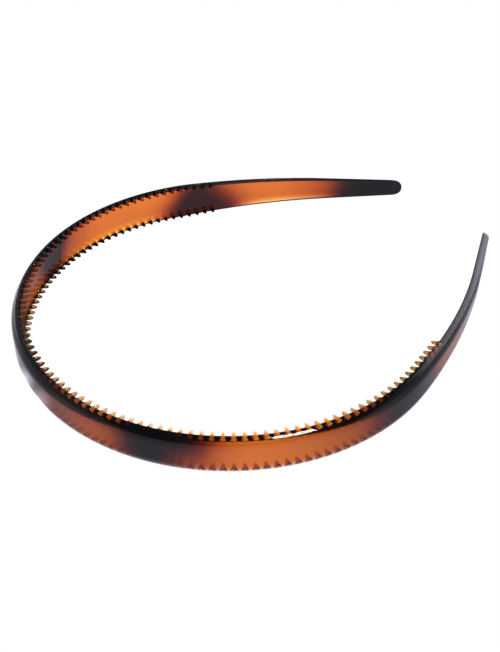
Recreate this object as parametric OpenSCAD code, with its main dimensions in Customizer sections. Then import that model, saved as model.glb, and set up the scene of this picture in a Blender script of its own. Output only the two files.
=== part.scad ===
// Sprung plastic headband with two rows of small grip teeth on its inner face.
// It lies on its lower edge: +Z runs across the width of the band, the crown
// faces -Y and the two open tips point towards +Y. The origin is the middle of
// its footprint, on the surface that it lies on.
// The band is a single moulding. It is divided at six flex lines, so that the
// bodies between them can open outwards as the real band does on a head.

/* [Band] */
// Inner radius of the round part over the head
head_r = 60; // [58:0.5:64]
// Angle of the round part on each side of the middle
round_angle = 109; // [107:1:112]
// Inner radius of the gently curved part of each arm
arm_r = 170; // [140:5:300]
// Length of the gently curved part of each arm
arm_length = 51; // [40:1:60]
// Length of the straight tip of each arm
tip_length = 25; // [15:1:35]
// Width of the band over the head
band_w = 11.6; // [10:0.1:14]
// Width of the band just before its rounded tips
tip_w = 5.2; // [4:0.1:7]
// Distance from the middle at which the width starts to taper
taper_from = 117; // [112:1:130]
// Thickness along the middle of the width
mid_t = 2.2; // [1.9:0.1:3]
// Thickness at the two edges, less than the thickness in the middle
edge_t = 0.7; // [0.6:0.1:1.6]
// Share of the width over which the outer face is flat, between its round shoulders
flat_share = 0.45; // [0:0.05:0.6]
// Length of the rounding at the end of each tip
tip_round = 3.5; // [3:0.5:6]

/* [Teeth] */
// Distance from one tooth to the next along the inner face
tooth_pitch = 2.69; // [2.6:0.01:2.74]
// Teeth in a row on each side of the middle tooth
side_teeth = 47; // [44:1:48]
// Length of a tooth
tooth_length = 2.2; // [1.4:0.1:2.6]
// Diameter of a tooth at its root
tooth_root_d = 1.4; // [1:0.1:1.6]
// Diameter of a tooth at its rounded point
tooth_point_d = 0.7; // [0.5:0.1:0.9]
// Distance from the edge of the band to the middle of a tooth
tooth_inset = 1.0; // [0.9:0.05:1.6]

/* [Flex lines] */
// Tooth just before the line between the crown and a shoulder
crown_last = 7; // [5:1:10]
// Tooth just before the line between a shoulder and a side
shoulder_last = 23; // [20:1:26]
// Tooth just before the line between a side and an arm
side_last = 39; // [36:1:39]

/* [Hidden] */
$fn = 64;

amber = [0.86, 0.44, 0.12];
maroon = [0.42, 0.16, 0.10];
dark_brown = [0.17, 0.12, 0.14];
honey = [0.90, 0.66, 0.38];

// Distances from the middle, measured along the inner face
round_length = head_r * round_angle * PI / 180;
arm_end = round_length + arm_length;
half_length = arm_end + tip_length;
crown_end = (crown_last + 0.5) * tooth_pitch;
shoulder_end = (shoulder_last + 0.5) * tooth_pitch;
side_end = (side_last + 0.5) * tooth_pitch;
teeth_end = (side_teeth + 0.5) * tooth_pitch;
// Steps of the outer face across the width, of the arms along their length, and of the round end
face_steps = 14;
ring_step = 3;
round_steps = 7;
// The round end closes at this share of the rounding, where it is still a small flat
last_round = 0.97;

// Angle in degrees through which the band has turned at distance s
function turn(s) =
    (min(s, round_length) / head_r + max(0, min(s, arm_end) - round_length) / arm_r) * 180 / PI;
function along(s) = [cos(turn(s)), sin(turn(s))];
function outward(s) = [sin(turn(s)), -cos(turn(s))];
// Point on the inner face at distance s, with the middle of the crown at [0, 0]
function rail(s) =
    s <= round_length ? [0, head_r] + head_r * outward(s)
    : s <= arm_end ? rail(round_length) + arm_r * (outward(s) - outward(round_length))
    : rail(arm_end) + (s - arm_end) * along(s);

// Share of the full section that is left at distance s in the rounded end
function round_share(s) = last_round * max(0, s - (half_length - tip_round)) / tip_round;
function width_at(s) =
    (band_w - (band_w - tip_w) * max(0, s - taper_from) / (half_length - taper_from))
    * pow(1 - pow(round_share(s), 2.5), 1 / 2.5);
function thickness_share(s) = sqrt(1 - pow(0.75 * round_share(s), 2));

// Section of the band as [distance out from the inner face, share of the half width] pairs:
// the flat inner face, then the outer face from the lower edge to the upper one
function face_out(across) =
    mid_t - (mid_t - edge_t) * pow(max(0, abs(across) - flat_share) / (1 - flat_share), 2);
section = concat(
    [[0, -1]],
    [for (step = [0 : face_steps]) let (across = sin(180 * step / face_steps - 90)) [face_out(across), across]],
    [[0, 1]]);

// One ring of the swept arm
function ring(s) =
    let (half_w = width_at(s) / 2, share = thickness_share(s))
    [for (p = section) let (at = rail(s) + share * p[0] * outward(s)) [at.x, at.y, band_w / 2 + p[1] * half_w]];

arm_stations = concat(
    [for (tooth = [side_last : side_teeth]) (tooth + 0.5) * tooth_pitch],
    [for (s = [teeth_end + ring_step : ring_step : arm_end - 1]) s],
    [arm_end]);
tip_stations = concat(
    [for (s = [arm_end : ring_step : half_length - tip_round - 1]) s],
    [for (k = [0 : round_steps]) half_length - tip_round * (1 - sin(90 * k / round_steps))]);

// Half of the footprint's depth, and where its middle is from the crown
far_y = max([for (s = tip_stations) for (p = ring(s)) p.y]);
middle_y = (far_y - mid_t) / 2;

module place() translate([0, -middle_y, 0]) children();
module right() place() children();
module left() place() mirror([1, 0, 0]) children();

module swept(stations)
{
    rings = [for (s = stations) ring(s)];
    n = len(section);
    last = len(rings) - 1;
    polyhedron(
        points = [for (r = rings) each r],
        faces = concat(
            [[for (i = [0 : n - 1]) i]],
            [for (j = [0 : last - 1]) for (i = [0 : n - 1])
                [j * n + i, (j + 1) * n + i, (j + 1) * n + (i + 1) % n, j * n + (i + 1) % n]],
            [[for (i = [n - 1 : -1 : 0]) last * n + i]]));
}

module round_band(from, to)
    translate([0, head_r, 0])
        rotate([0, 0, turn(from) - 90])
            rotate_extrude(angle = (to - from) / head_r * 180 / PI, $fn = 360)
                polygon([for (p = section) [head_r + p[0], band_w / 2 * (1 + p[1])]]);

// A tooth stands on the chord between the two ring stations beside it
module tooth(index, upper)
{
    s = abs(index) * tooth_pitch;
    before = rail(max(0, s - tooth_pitch / 2));
    root = index == 0 ? [0, tooth_root_d * tooth_root_d / (8 * head_r)]
        : (before + rail(s + tooth_pitch / 2)) / 2;
    inset = width_at(s) / 2 - tooth_inset;
    mirror([index < 0 ? 1 : 0, 0, 0])
        translate([root.x, root.y, band_w / 2 + (upper ? inset : -inset)])
            rotate([0, 0, turn(s) + 90]) rotate([0, 90, 0]) {
                cylinder(
                    h = tooth_length - tooth_point_d / 2,
                    d1 = tooth_root_d, d2 = tooth_point_d, $fn = 32);
                translate([0, 0, tooth_length - tooth_point_d / 2])
                    sphere(d = tooth_point_d, $fn = 32);
            }
}

module teeth(first, last, upper)
    color(honey) for (index = [first : last]) tooth(index, upper);

module crown_band()
    color(amber) place() {
        round_band(0, crown_end);
        mirror([1, 0, 0]) round_band(0, crown_end);
    }
module shoulder_band() color(amber) round_band(crown_end, shoulder_end);
module side_band() color(maroon) round_band(shoulder_end, side_end);
module arm_band() color(amber) swept(arm_stations);
module tip() color(dark_brown) swept(tip_stations);
module shoulder_teeth(upper) teeth(crown_last + 1, shoulder_last, upper);
module side_teeth_row(upper) teeth(shoulder_last + 1, side_last, upper);
module arm_teeth(upper) teeth(side_last + 1, side_teeth, upper);

crown_band();
place() teeth(-crown_last, crown_last, true);  // crown_upper_teeth
place() teeth(-crown_last, crown_last, false);  // crown_lower_teeth
left() shoulder_band();  // left_shoulder_band
left() shoulder_teeth(true);  // left_shoulder_upper_teeth
left() shoulder_teeth(false);  // left_shoulder_lower_teeth
left() side_band();  // left_side_band
left() side_teeth_row(true);  // left_side_upper_teeth
left() side_teeth_row(false);  // left_side_lower_teeth
left() arm_band();  // left_arm_band
left() arm_teeth(true);  // left_arm_upper_teeth
left() arm_teeth(false);  // left_arm_lower_teeth
left() tip();  // left_tip
right() shoulder_band();  // right_shoulder_band
right() shoulder_teeth(true);  // right_shoulder_upper_teeth
right() shoulder_teeth(false);  // right_shoulder_lower_teeth
right() side_band();  // right_side_band
right() side_teeth_row(true);  // right_side_upper_teeth
right() side_teeth_row(false);  // right_side_lower_teeth
right() arm_band();  // right_arm_band
right() arm_teeth(true);  // right_arm_upper_teeth
right() arm_teeth(false);  // right_arm_lower_teeth
right() tip();  // right_tip
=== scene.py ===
from math import atan2, cos, hypot, pi, radians, sin, sqrt

import bmesh
import bpy
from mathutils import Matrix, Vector


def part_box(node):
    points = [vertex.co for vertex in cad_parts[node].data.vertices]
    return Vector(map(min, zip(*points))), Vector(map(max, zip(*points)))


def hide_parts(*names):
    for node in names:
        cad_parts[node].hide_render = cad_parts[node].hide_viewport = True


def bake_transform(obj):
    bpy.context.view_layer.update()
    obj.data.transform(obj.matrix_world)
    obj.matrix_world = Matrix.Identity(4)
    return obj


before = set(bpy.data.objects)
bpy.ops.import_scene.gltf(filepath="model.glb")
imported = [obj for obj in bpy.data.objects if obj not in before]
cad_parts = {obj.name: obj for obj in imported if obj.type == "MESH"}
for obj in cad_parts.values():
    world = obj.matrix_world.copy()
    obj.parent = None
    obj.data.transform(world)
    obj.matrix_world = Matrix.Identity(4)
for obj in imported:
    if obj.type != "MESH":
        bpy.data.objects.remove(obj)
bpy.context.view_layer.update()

# ---------------------------------------------------------------- dimensions
# Metres. The crown's box gives the width of the band and where its inner face is.
MM = 0.001

# Plan of the inner face: a round part, and on each side an arm of larger radius and a straight tip
HEAD_R = 60 * MM
ROUND_ANGLE = radians(109)
ARM_R = 170 * MM
ARM_LENGTH = 51 * MM
TIP_LENGTH = 25 * MM

# Width at the end of a tip, and the distance along the band where the narrowing starts
TIP_W = 5.2 * MM
TAPER_FROM = 117 * MM

# Section: thickness in the middle and at the edges, and the share of the half width that is flat
MID_T = 2.2 * MM
EDGE_T = 0.7 * MM
FLAT_SHARE = 0.45

# The end of a tip: its length, the power of its superellipse, and how strongly it thins
TIP_ROUND = 3.5 * MM
TIP_POWER = 2.5
TIP_THINNING = 0.75

# Teeth: spacing, index of the last one on a side, shape, and how far they stand from the edges
TOOTH_PITCH = 2.69 * MM
SIDE_TEETH = 47
TOOTH_LENGTH = 2.2 * MM
TOOTH_ROOT_R = 0.62 * MM
TOOTH_POINT_R = 0.36 * MM
TOOTH_INSET = 1.0 * MM

crown_low, crown_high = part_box("crown_band")
BAND_W = crown_high.z - crown_low.z
HEAD_CENTRE_Y = crown_low.y + MID_T + HEAD_R
ROUND_LENGTH = HEAD_R * ROUND_ANGLE
ARM_END = ROUND_LENGTH + ARM_LENGTH
HALF_LENGTH = ARM_END + TIP_LENGTH

# Flex lines at the outer face, as distances along the inner face
FLEX_LINES = [n * TOOTH_PITCH for n in (7.5, 23.5, 39.5)]


def turned(s):
    """Angle through which the band has turned at distance s from the middle, s >= 0."""
    return min(s, ROUND_LENGTH) / HEAD_R + max(0.0, min(s, ARM_END) - ROUND_LENGTH) / ARM_R


def outward(s):
    """Way out from the inner face at distance s >= 0, in plan."""
    return Vector((sin(turned(s)), -cos(turned(s))))


def along(s):
    """Way along the band towards its tip at distance s >= 0, in plan."""
    return Vector((cos(turned(s)), sin(turned(s))))


def rail(s):
    """Point of the inner face at distance s >= 0, in plan."""
    if s <= ROUND_LENGTH:
        return Vector((0, HEAD_CENTRE_Y)) + HEAD_R * outward(s)
    if s <= ARM_END:
        return rail(ROUND_LENGTH) + ARM_R * (outward(s) - outward(ROUND_LENGTH))
    return rail(ARM_END) + (s - ARM_END) * along(s)


def on_band(s, out, height):
    """Point at signed distance s along the band, out from its inner face, at a height."""
    at = rail(abs(s)) + out * outward(abs(s))
    return Vector((at.x if s >= 0 else -at.x, at.y, height))


def round_share(s):
    """How far distance s is into the rounded end of a tip, from 0 to 1."""
    return max(0.0, s - (HALF_LENGTH - TIP_ROUND)) / TIP_ROUND


def half_width(s):
    """Half the width of the band at distance s >= 0."""
    taper = max(0.0, s - TAPER_FROM) / (HALF_LENGTH - TAPER_FROM)
    full = BAND_W - (BAND_W - TIP_W) * taper
    return full / 2 * max(0.0, 1 - round_share(s) ** TIP_POWER) ** (1 / TIP_POWER)


def thickness_share(s):
    """Thickness at distance s >= 0 as a share of the band's own."""
    return sqrt(1 - (TIP_THINNING * round_share(s)) ** 2)


# ---------------------------------------------------------------- mesh
# Rings along the band, and round the end of a tip. The last one stops just short, to keep some width.
RING_STEP = 0.7 * MM
ROUND_STEPS = 14
LAST_ROUND = 0.9995

# How far the corners of the section are cut back, and the most of the half width or of a side taken
INNER_CUT = 0.22 * MM
OUTER_CUT = 0.80 * MM
CUT_OF_HALF = 0.3
CUT_OF_SIDE = 0.45

# Steps round a corner, across the outer face and across the inner face
CORNER_STEPS = 5
FACE_STEPS = 26
INNER_STEPS = 16


def rounded(corner, before, after, cut):
    """Points that round a corner, cut back by at most cut along each side."""
    a, b = before - corner, after - corner
    a = a.normalized() * min(cut, a.length * CUT_OF_SIDE)
    b = b.normalized() * min(cut, b.length * CUT_OF_SIDE)
    points = []
    for i in range(CORNER_STEPS + 1):
        t = i / CORNER_STEPS
        points.append(corner + a * (1 - t) ** 2 + b * t ** 2)
    return points


def section(half, share):
    """Closed outline of the band at one station, as (out from the inner face, across) pairs."""
    def face(v):
        past_flat = max(0.0, abs(v) - FLAT_SHARE) / (1 - FLAT_SHARE)
        return share * (MID_T - (MID_T - EDGE_T) * past_flat ** 2)

    inner_low, inner_high = Vector((0, -half)), Vector((0, half))
    outer_low, outer_high = Vector((face(1), -half)), Vector((face(1), half))
    inner_cut, outer_cut = min(INNER_CUT, half * CUT_OF_HALF), min(OUTER_CUT, half * CUT_OF_HALF)
    ends = 1 - outer_cut / half
    outer = [sin(pi * (i / FACE_STEPS - 0.5)) * ends for i in range(FACE_STEPS + 1)]
    outer = [Vector((face(v), v * half)) for v in outer]
    loop = rounded(inner_low, inner_high, outer_low, inner_cut)
    loop += rounded(outer_low, inner_low, outer[1], outer_cut)[:-1]
    loop += outer
    loop += rounded(outer_high, outer[-2], inner_high, outer_cut)[1:]
    loop += rounded(inner_high, outer_high, inner_low, inner_cut)
    inner_top = half - inner_cut
    loop += [Vector((0, inner_top * (1 - 2 * i / INNER_STEPS))) for i in range(1, INNER_STEPS)]
    return loop


def stations(start, end):
    """Signed distances of the rings from start to end; a start or end past a tip is that tip."""
    low, high = max(start, -HALF_LENGTH), min(end, HALF_LENGTH)
    round_from = HALF_LENGTH - TIP_ROUND
    body_low, body_high = max(low, -round_from), min(high, round_from)
    count = round((body_high - body_low) / RING_STEP)
    rings = [body_low + (body_high - body_low) * i / count for i in range(count + 1)]
    tip = [round_from + TIP_ROUND * LAST_ROUND * sin(pi / 2 * i / ROUND_STEPS)
           for i in range(1, ROUND_STEPS + 1)]
    if low < -round_from:
        rings = [-s for s in reversed(tip)] + rings
    if high > round_from:
        rings += tip
    return rings


def band_mesh(name, start, end):
    """One closed length of the band."""
    vertices, faces = [], []
    rings = stations(start, end)
    for s in rings:
        loop = section(half_width(abs(s)), thickness_share(abs(s)))
        vertices += [on_band(s, p.x, BAND_W / 2 + p.y) for p in loop]
    n = len(loop)
    for j in range(len(rings) - 1):
        for i in range(n):
            k = (i + 1) % n
            faces.append((j * n + i, j * n + k, (j + 1) * n + k, (j + 1) * n + i))
    faces.append(tuple(range(n - 1, -1, -1)))
    faces.append(tuple((len(rings) - 1) * n + i for i in range(n)))
    mesh = bpy.data.meshes.new(name)
    mesh.from_pydata(vertices, [], faces)
    return mesh


# A tooth reaches this far into the band, so that the two join
TOOTH_BURIED = 0.30 * MM

# Its root widens by ROOT_FLARE over ROOT_HEIGHT, and its taper bulges a little
ROOT_FLARE = 0.45 * MM
ROOT_HEIGHT = 1.0 * MM
FLARE_POWER = 2.2
TOOTH_BULGE = 0.04 * MM

# Half of the widest that a root may be across the band, so that it stays clear of the edge
ROOT_ACROSS = 0.90 * MM

# Steps round a tooth, and up its root, its taper and its point
TOOTH_SIDES = 20
ROOT_STEPS = 4
TAPER_STEPS = 4
POINT_STEPS = 6


def tooth_profile():
    """(height, radius) pairs of one tooth: a flared root, a taper and a round point."""
    profile = [(-TOOTH_BURIED, TOOTH_ROOT_R + ROOT_FLARE)]
    for i in range(ROOT_STEPS + 1):
        t = i / ROOT_STEPS
        profile.append((t * ROOT_HEIGHT, TOOTH_ROOT_R + ROOT_FLARE * (1 - t) ** FLARE_POWER))
    shoulder = TOOTH_LENGTH - TOOTH_POINT_R
    for i in range(1, TAPER_STEPS + 1):
        t = i / TAPER_STEPS
        bulge = TOOTH_BULGE * sin(pi * t)
        height = ROOT_HEIGHT + (shoulder - ROOT_HEIGHT) * t
        profile.append((height, TOOTH_ROOT_R + (TOOTH_POINT_R - TOOTH_ROOT_R) * t + bulge))
    for i in range(1, POINT_STEPS):
        angle = pi / 2 * i / POINT_STEPS
        profile.append((shoulder + TOOTH_POINT_R * sin(angle), TOOTH_POINT_R * cos(angle)))
    return profile


def teeth_mesh(name, indexes):
    """The upper and lower teeth of these indexes, each a closed skin round its own axis."""
    vertices, faces = [], []
    profile = tooth_profile()
    for index in indexes:
        s = index * TOOTH_PITCH
        radial = on_band(s, 1, 0) - on_band(s, 0, 0)
        side = Vector((-radial.y, radial.x, 0))
        offset = half_width(abs(s)) - TOOTH_INSET
        for height in (BAND_W / 2 - offset, BAND_W / 2 + offset):
            root, base = on_band(s, 0, height), len(vertices)
            for h, r in profile:
                for k in range(TOOTH_SIDES):
                    a = 2 * pi * k / TOOTH_SIDES
                    across = Vector((0, 0, min(r, ROOT_ACROSS) * sin(a)))
                    vertices.append(root - radial * h + side * r * cos(a) + across)
            vertices.append(root - radial * TOOTH_LENGTH)
            last = base + (len(profile) - 1) * TOOTH_SIDES
            for j in range(len(profile) - 1):
                ring = base + j * TOOTH_SIDES
                for k in range(TOOTH_SIDES):
                    a, b = ring + k, ring + (k + 1) % TOOTH_SIDES
                    faces.append((a, b, b + TOOTH_SIDES, a + TOOTH_SIDES))
            for k in range(TOOTH_SIDES):
                faces.append((last + k, last + (k + 1) % TOOTH_SIDES, len(vertices) - 1))
            faces.append(tuple(base + k for k in reversed(range(TOOTH_SIDES))))
    mesh = bpy.data.meshes.new(name)
    mesh.from_pydata(vertices, [], faces)
    return mesh


def outward_normals(mesh):
    """Turns every face of a closed mesh outwards."""
    b = bmesh.new()
    b.from_mesh(mesh)
    bmesh.ops.recalc_face_normals(b, faces=b.faces)
    b.to_mesh(mesh)
    b.free()


def new_object(name, mesh):
    """Adds a closed mesh to the scene."""
    outward_normals(mesh)
    piece = bpy.data.objects.new(name, mesh)
    bpy.context.scene.collection.objects.link(piece)
    return piece


def moulded_together(band, teeth):
    """Joins the teeth to the band as one closed skin, as they are moulded."""
    join = band.modifiers.new("moulded", "BOOLEAN")
    join.operation, join.solver, join.object = "UNION", "MANIFOLD", teeth
    graph = bpy.context.evaluated_depsgraph_get()
    mesh = bpy.data.meshes.new_from_object(band.evaluated_get(graph))
    band.modifiers.clear()
    band.data = mesh
    bpy.data.objects.remove(teeth)


def place_on_band(point):
    """(signed distance along the band, distance out from the inner face) of a point."""
    x, y = abs(point.x), point.y - HEAD_CENTRE_Y
    plan = Vector((x, point.y))
    past_round = (plan - rail(ROUND_LENGTH)).dot(along(ROUND_LENGTH))
    past_arm = (plan - rail(ARM_END)).dot(along(ARM_END))
    if past_round > 0 and past_arm > 0:
        s, out = ARM_END + past_arm, (plan - rail(ARM_END)).dot(outward(ARM_END))
    elif past_round > 0 and point.y > HEAD_CENTRE_Y:
        arm_centre = rail(ROUND_LENGTH) - ARM_R * outward(ROUND_LENGTH)
        spoke = plan - arm_centre
        s = ROUND_LENGTH + (atan2(spoke.x, -spoke.y) - ROUND_ANGLE) * ARM_R
        out = spoke.length - ARM_R
    else:
        s, out = atan2(x, -y) * HEAD_R, hypot(x, y) - HEAD_R
    return (s if point.x >= 0 else -s), out


def note_places(mesh):
    """Stores where each vertex is on the band at rest, in millimetres, for the material."""
    place = mesh.attributes.new("place_mm", "FLOAT_VECTOR", "POINT")
    for vertex in mesh.vertices:
        s, out = place_on_band(vertex.co)
        place.data[vertex.index].vector = (s / MM, (vertex.co.z - BAND_W / 2) / MM, out / MM)


# ---------------------------------------------------------------- material
# Dark patches of the tortoiseshell, in millimetres along the band: the middle, the half length
# at mid-width, how much longer that is at the top edge, how soft the ends are, and the deepest
PATCHES = [
    (-190, 24.3, 0.0, 6.5, 9),
    (-124, 7.5, -4.5, 4.2, 2.8),
    (-64, 8.0, 3.0, 3.7, 2.8),
    (-16, 17.0, 4.0, 9.0, 9),
    (37.5, 8.5, 3.0, 3.6, 9),
    (107, 12.0, 3.0, 4.0, 9),
    (190, 31.0, 0.0, 4.0, 9),
]

# How strongly the dark pigment takes up red, green and blue light
PIGMENT = (1.0, 1.8, 2.0)

# Two clouds shift the ends of the patches: scale per millimetre, detail, and millimetres each way
END_CLOUDS = [(0.045, 1.0, 2.5), (0.22, 2.0, 0.5)]
CLOUD_LOW, CLOUD_HIGH = 0.3, 0.7

# The pigment fades in between these distances out from the inner face, in millimetres, so that the
# teeth are clear
CLEAR_AT, FULL_AT = -0.40, -0.05

# The clear amber: what passes through it, and how strongly a metre of it takes up the rest
AMBER = (0.824, 0.562, 0.035, 1)
AMBER_DENSITY = 1700.0
PLASTIC_IOR = 1.49

# Roughness: a fine cloud varies it from SMOOTH to DULL, and the teeth add TOOTH_DULL. They do so
# past TEETH_FROM millimetres out from the inner face, and no longer at TEETH_TO.
GLOSS_CLOUD = (0.9, 4.0, 0.6)
GLOSS_LOW, GLOSS_HIGH = 0.35, 0.75
SMOOTH, DULL = 0.03, 0.06
TOOTH_DULL = 0.10
TEETH_FROM, TEETH_TO = -0.60, -0.15


class Nodes:
    """Short calls for building the node tree of a material or a world."""

    def __init__(self, owner):
        owner.use_nodes = True
        self.tree = owner.node_tree
        self.tree.nodes.clear()

    def add(self, kind, inputs=None, **settings):
        """A new node. An input takes a plain value, or the output of another node."""
        node = self.tree.nodes.new("ShaderNode" + kind)
        for key, value in settings.items():
            setattr(node, key, value)
        for key, value in (inputs or {}).items():
            if isinstance(value, bpy.types.NodeSocket):
                self.tree.links.new(value, node.inputs[key])
            else:
                node.inputs[key].default_value = value
        return node

    def math(self, operation, a, b=0.0):
        return self.add("Math", {0: a, 1: b}, operation=operation).outputs[0]

    def remap(self, value, low, high, to_low=0.0, to_high=1.0):
        """A smooth step from to_low, at low, to to_high, at high."""
        inputs = {
            "Value": value, "From Min": low, "From Max": high, "To Min": to_low, "To Max": to_high,
        }
        return self.add("MapRange", inputs, interpolation_type="SMOOTHSTEP").outputs[0]

    def noise(self, scale, detail=2.0, roughness=0.5):
        """A cloud fixed to the band; scale is per millimetre."""
        where = self.add("Attribute", attribute_name="place_mm").outputs["Vector"]
        inputs = {"Vector": where, "Scale": scale, "Detail": detail, "Roughness": roughness}
        return self.add("TexNoise", inputs).outputs["Fac"]


def pigment_depth(nodes, along_band, across):
    """How thick the dark pigment is: fading out in clear amber, 1 at a patch's end, more inside."""
    place = along_band
    for scale, detail, reach in END_CLOUDS:
        shift = nodes.remap(nodes.noise(scale, detail), CLOUD_LOW, CLOUD_HIGH, -reach, reach)
        place = nodes.math("ADD", place, shift)
    height = nodes.math("DIVIDE", across, BAND_W / 2 / MM)
    total = None
    for middle, half, extra, softness, deepest in PATCHES:
        distance = nodes.math("ABSOLUTE", nodes.math("SUBTRACT", place, middle))
        length = nodes.math("ADD", nodes.math("MULTIPLY", height, extra), half)
        inside = nodes.math("SUBTRACT", length, distance)
        depth = nodes.math("EXPONENT", nodes.math("DIVIDE", inside, softness))
        depth = nodes.math("MINIMUM", depth, deepest)
        total = depth if total is None else nodes.math("ADD", total, depth)
    return total


def tortoiseshell():
    """Clear amber plastic with dark pigment in patches."""
    material = bpy.data.materials.new("tortoiseshell_plastic")
    nodes = Nodes(material)
    where = nodes.add("Attribute", attribute_name="place_mm").outputs["Vector"]
    split = nodes.add("SeparateXYZ", {0: where}).outputs
    in_band = nodes.remap(split["Z"], CLEAR_AT, FULL_AT)
    depth = nodes.math("MULTIPLY", pigment_depth(nodes, split["X"], split["Y"]), in_band)
    passed = [nodes.math("EXPONENT", nodes.math("MULTIPLY", depth, -k)) for k in PIGMENT]
    colour = nodes.add("CombineColor", {0: passed[0], 1: passed[1], 2: passed[2]}).outputs["Color"]
    gloss = nodes.remap(nodes.noise(*GLOSS_CLOUD), GLOSS_LOW, GLOSS_HIGH, SMOOTH, DULL)
    gloss = nodes.math("ADD", gloss, nodes.remap(split["Z"], TEETH_FROM, TEETH_TO, TOOTH_DULL, 0.0))
    shader = nodes.add("BsdfPrincipled", {
        "Base Color": colour, "Roughness": gloss, "IOR": PLASTIC_IOR, "Transmission Weight": 1.0,
    })
    body = nodes.add("VolumeAbsorption", {"Color": AMBER, "Density": AMBER_DENSITY})
    nodes.add("OutputMaterial", {
        "Surface": shader.outputs["BSDF"], "Volume": body.outputs["Volume"],
    })
    return material


# ---------------------------------------------------------------- the band
# Each piece goes this far past its cuts, because a gap between two pieces would show as a mirror
CUT_LAP = 0.004 * MM

# Edges sharper than this are shaded as edges
SHARP_ANGLE = radians(50)

# For each side: its name, the sign of its distances, the tooth before each cut and the last tooth,
# and how many millimetres the bend over each flex line reaches before and after that line
SIDES = [
    ("left", -1, (2, 12, 25, SIDE_TEETH), ((13, 13), (17, 5.0), (18, 19))),
    ("right", 1, (-3, 15, 37, SIDE_TEETH), ((16, 18), (17, 18), (5.2, 19))),
]
LENGTHS = ("crown_to_shoulder", "shoulder_to_side", "side_to_tip")


def cut_after(tooth):
    """Distance of the cut midway between this tooth and the next."""
    return (tooth + 0.5) * TOOTH_PITCH


def make_length(name, start, end, teeth_indexes, material):
    """One length of the band with its teeth, as one closed skin."""
    piece = new_object(name, band_mesh(name, start, end))
    teeth = new_object(name + "_teeth", teeth_mesh(name + "_teeth", teeth_indexes))
    moulded_together(piece, teeth)
    note_places(piece.data)
    piece.data.shade_smooth()
    piece.data.set_sharp_from_angle(angle=SHARP_ANGLE)
    piece.data.materials.clear()
    piece.data.materials.append(material)
    return piece


def make_band(material):
    """Six lengths of the band, each holding one flex line."""
    middle = BAND_W / 2
    for side, sign, ends, reaches in SIDES:
        bodies = ["crown"] + [f"{side}_{part}" for part in ("shoulder", "side", "arm")]
        for n, (line, (before, after)) in enumerate(zip(FLEX_LINES, reaches)):
            last = n == len(LENGTHS) - 1
            low = cut_after(ends[n]) - CUT_LAP
            high = (HALF_LENGTH if last else cut_after(ends[n + 1])) + CUT_LAP
            start, end = (low, high) if sign > 0 else (-high, -low)
            indexes = [sign * i for i in range(ends[n] + 1, ends[n + 1] + 1)]
            piece = make_length(f"{side}_{LENGTHS[n]}", start, end, indexes, material)
            on_band(sign * (line - before * MM), 0, middle)
            on_band(sign * (line + after * MM), 0, middle)
            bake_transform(piece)
            for body in (bodies[n], bodies[n + 1]):
                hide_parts(f"{body}_band", f"{body}_upper_teeth", f"{body}_lower_teeth")
            if last:
                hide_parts(f"{side}_tip")


# ---------------------------------------------------------------- stage
# How bright the lit floor is, where 1 already shows as pure white
WHITE = 1.94

# Colour of the light from the floor and the room, and what the camera sees in its place
COOL_WHITE = (0.98, 0.985, 1.09, 1)
PLAIN_WHITE = (1, 1, 1, 1)

# The floor's glow, in shares of WHITE, rises from NEAR_GLOW at the middle to FAR_GLOW at FAR_FULL
# metres along FAR_WAY, which points away from the camera in plan
NEAR_GLOW, FAR_GLOW = 0.52, 0.95
FAR_WAY = (-0.793, 0.609, 0)
FAR_FULL = 0.036

# Extra glow in front, which is full at FRONT_FROM and gone at FRONT_TO, in metres along FAR_WAY
FRONT_GLOW, FRONT_FROM, FRONT_TO = 0.30, -0.072, -0.036

# Pools of more or less light on the floor: middle in metres, radius, share of WHITE added there
POOLS = [
    ((0.004, -0.080), 0.030, 0.08),
    ((-0.0045, -0.0742), 0.007, 0.75),
    ((-0.014, -0.0722), 0.007, 0.75),
    ((0.060, -0.055), 0.045, 0.20),
    ((0.024, 0.067), 0.026, -0.52),
]

# The floor glows less, by up to SHADE, where the band is nearer than SHADE_REACH and hides the room
SHADE_REACH = 0.020
SHADE = 0.30
SHADE_SAMPLES = 8

FLOOR_HALF = 3.0
FLOOR_Z = -0.05 * MM


def seen_as_white(nodes, glow):
    """Colour and strength of a surface that lights the band by its glow and looks plain white."""
    seen = nodes.add("LightPath").outputs["Is Camera Ray"]
    strength = nodes.add("Mix", {0: seen, 2: glow, 3: 1.0}, data_type="FLOAT").outputs[0]
    tint = nodes.add("Mix", {0: seen, 6: COOL_WHITE, 7: PLAIN_WHITE}, data_type="RGBA").outputs[2]
    return {"Color": tint, "Strength": strength}


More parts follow.
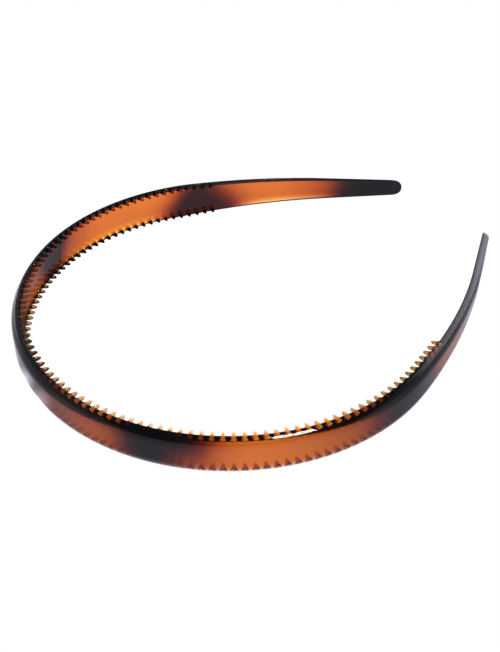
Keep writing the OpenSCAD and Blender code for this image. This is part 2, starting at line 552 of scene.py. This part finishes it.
def make_floor():
    """A white floor that glows as if evenly lit, brighter beyond the object than before it."""
    material = bpy.data.materials.new("white_floor")
    nodes = Nodes(material)
    where = nodes.add("TexCoord").outputs["Object"]
    far = nodes.add("VectorMath", {0: where, 1: FAR_WAY}, operation="DOT_PRODUCT").outputs["Value"]
    glow = nodes.remap(far, 0, FAR_FULL, NEAR_GLOW * WHITE, FAR_GLOW * WHITE)
    front = nodes.remap(far, FRONT_FROM, FRONT_TO, FRONT_GLOW * WHITE, 0)
    glow = nodes.math("ADD", glow, front)
    for (x, y), radius, share in POOLS:
        away = nodes.add("VectorMath", {0: where, 1: (x, y, 0)}, operation="DISTANCE")
        glow = nodes.math("ADD", nodes.remap(away.outputs["Value"], 0, radius, share * WHITE, 0), glow)
    sky = nodes.add("AmbientOcclusion", {"Distance": SHADE_REACH}, samples=SHADE_SAMPLES)
    shade = {"Value": sky.outputs["AO"], "To Min": 1 - SHADE, "To Max": 1.0}
    shade = nodes.add("MapRange", shade).outputs[0]
    glow = nodes.math("MULTIPLY", glow, shade)
    shader = nodes.add("Emission", seen_as_white(nodes, glow))
    nodes.add("OutputMaterial", {"Surface": shader.outputs["Emission"]})
    material.cycles.emission_sampling = "NONE"
    corners = [(-1, -1), (1, -1), (1, 1), (-1, 1)]
    mesh = bpy.data.meshes.new("floor")
    mesh.from_pydata([(x * FLOOR_HALF, y * FLOOR_HALF, FLOOR_Z) for x, y in corners], [], [(0, 1, 2, 3)])
    floor = bpy.data.objects.new("floor", mesh)
    bpy.context.scene.collection.objects.link(floor)
    mesh.materials.append(material)


def direction(azimuth, elevation):
    """Unit vector from the object towards something at this azimuth and elevation."""
    a, e = radians(azimuth), radians(elevation)
    return Vector((sin(a) * cos(e), -cos(a) * cos(e), sin(e)))


# The softbox that makes the highlight on the front: place seen from the object, size and power
KEY_AZIMUTH = 83
KEY_ELEVATION = 34
KEY_DISTANCE = 0.8
KEY_W, KEY_H = 0.25, 0.18
KEY_POWER = 3.0


def make_key_softbox():
    """A rectangular light that faces the object."""
    light = bpy.data.lights.new("key_softbox", "AREA")
    light.shape, light.size, light.size_y, light.energy = "RECTANGLE", KEY_W, KEY_H, KEY_POWER
    box = bpy.data.objects.new("key_softbox", light)
    bpy.context.scene.collection.objects.link(box)
    way = direction(KEY_AZIMUTH, KEY_ELEVATION)
    box.location = Vector((0, HEAD_CENTRE_Y, 0)) + way * KEY_DISTANCE
    box.rotation_euler = way.to_track_quat("Z", "Y").to_euler()


# The room has glowing walls up to the elevation WALL_TOP. Overhead it is dimmer, and so it is towards
# OPEN_AZIMUTH, where the wall's top falls to OPEN_TOP. All angles are in degrees.
OPEN_AZIMUTH = 62
WALL_TOP = 40
OPEN_TOP = -1
WALL_GLOW = 0.50
DARK_GLOW = 0.24
# Cosines of the turn from OPEN_AZIMUTH: at the first the wall is fully open, at the second full height
OPEN_COSINE, FULL_COSINE = 0.75, -0.10
# How softly the wall's top edge fades, in sines of the elevation below and above it
TOP_BELOW, TOP_ABOVE = -0.01, 0.02

# A brighter screen stands in the wall towards BACK_AZIMUTH. It fades in between these cosines.
BACK_AZIMUTH = 187
BACK_GLOW = 1.6
BACK_FROM, BACK_TO = 0.76, 0.92


def make_room():
    """White walls round three sides, shown plain white where the camera looks straight at them."""
    world = bpy.data.worlds.new("room")
    bpy.context.scene.world = world
    nodes = Nodes(world)
    way = nodes.add("TexCoord").outputs["Generated"]
    split = nodes.add("SeparateXYZ", {0: way}).outputs
    level = nodes.add("CombineXYZ", {0: split["X"], 1: split["Y"]}).outputs[0]
    level = nodes.add("VectorMath", {0: level}, operation="NORMALIZE").outputs[0]

    def towards(azimuth):
        """Cosine of the turn between the way that light comes from and an azimuth."""
        turn = nodes.add("VectorMath", {0: level, 1: direction(azimuth, 0)}, operation="DOT_PRODUCT")
        return turn.outputs["Value"]

    low, high = sin(radians(OPEN_TOP)), sin(radians(WALL_TOP))
    top = nodes.remap(towards(OPEN_AZIMUTH), OPEN_COSINE, FULL_COSINE, low, high)
    over = nodes.math("SUBTRACT", split["Z"], top)
    wall = nodes.remap(towards(BACK_AZIMUTH), BACK_FROM, BACK_TO, WALL_GLOW * WHITE, BACK_GLOW * WHITE)
    lit = nodes.remap(over, TOP_BELOW, TOP_ABOVE, 1, 0)
    glow = nodes.add("Mix", {0: lit, 2: DARK_GLOW * WHITE, 3: wall}, data_type="FLOAT").outputs[0]
    background = nodes.add("Background", seen_as_white(nodes, glow))
    nodes.add("OutputWorld", {"Surface": background.outputs["Background"]})


# The photo's camera, found by fitting. AIM is where it points, measured from the middle of the
# round part, at mid-width.
CAMERA_AZIMUTH = 52.51
CAMERA_ELEVATION = 37.90
CAMERA_DISTANCE = 321.5 * MM
CAMERA_LENS = 62.9
SENSOR_W = 36
CLIP_START = 10 * MM
AIM = (10.43 * MM, -1.15 * MM)

# Gamma of the display, chosen so that the tones are like the photo's
DISPLAY_GAMMA = 0.667


def make_camera():
    """The camera, placed as the fit says that the photo's was."""
    data = bpy.data.cameras.new("camera")
    data.sensor_width, data.lens = SENSOR_W, CAMERA_LENS
    data.clip_start = CLIP_START
    camera = bpy.data.objects.new("camera", data)
    bpy.context.scene.collection.objects.link(camera)
    back = direction(CAMERA_AZIMUTH, CAMERA_ELEVATION)
    aim = Vector((AIM[0], HEAD_CENTRE_Y + AIM[1], BAND_W / 2))
    camera.location = aim + back * CAMERA_DISTANCE
    camera.rotation_euler = back.to_track_quat("Z", "Y").to_euler()
    bpy.context.scene.camera = camera


make_camera()
make_band(tortoiseshell())
make_floor()
make_room()
make_key_softbox()
bpy.context.scene.view_settings.view_transform = "Standard"
bpy.context.scene.view_settings.gamma = DISPLAY_GAMMA
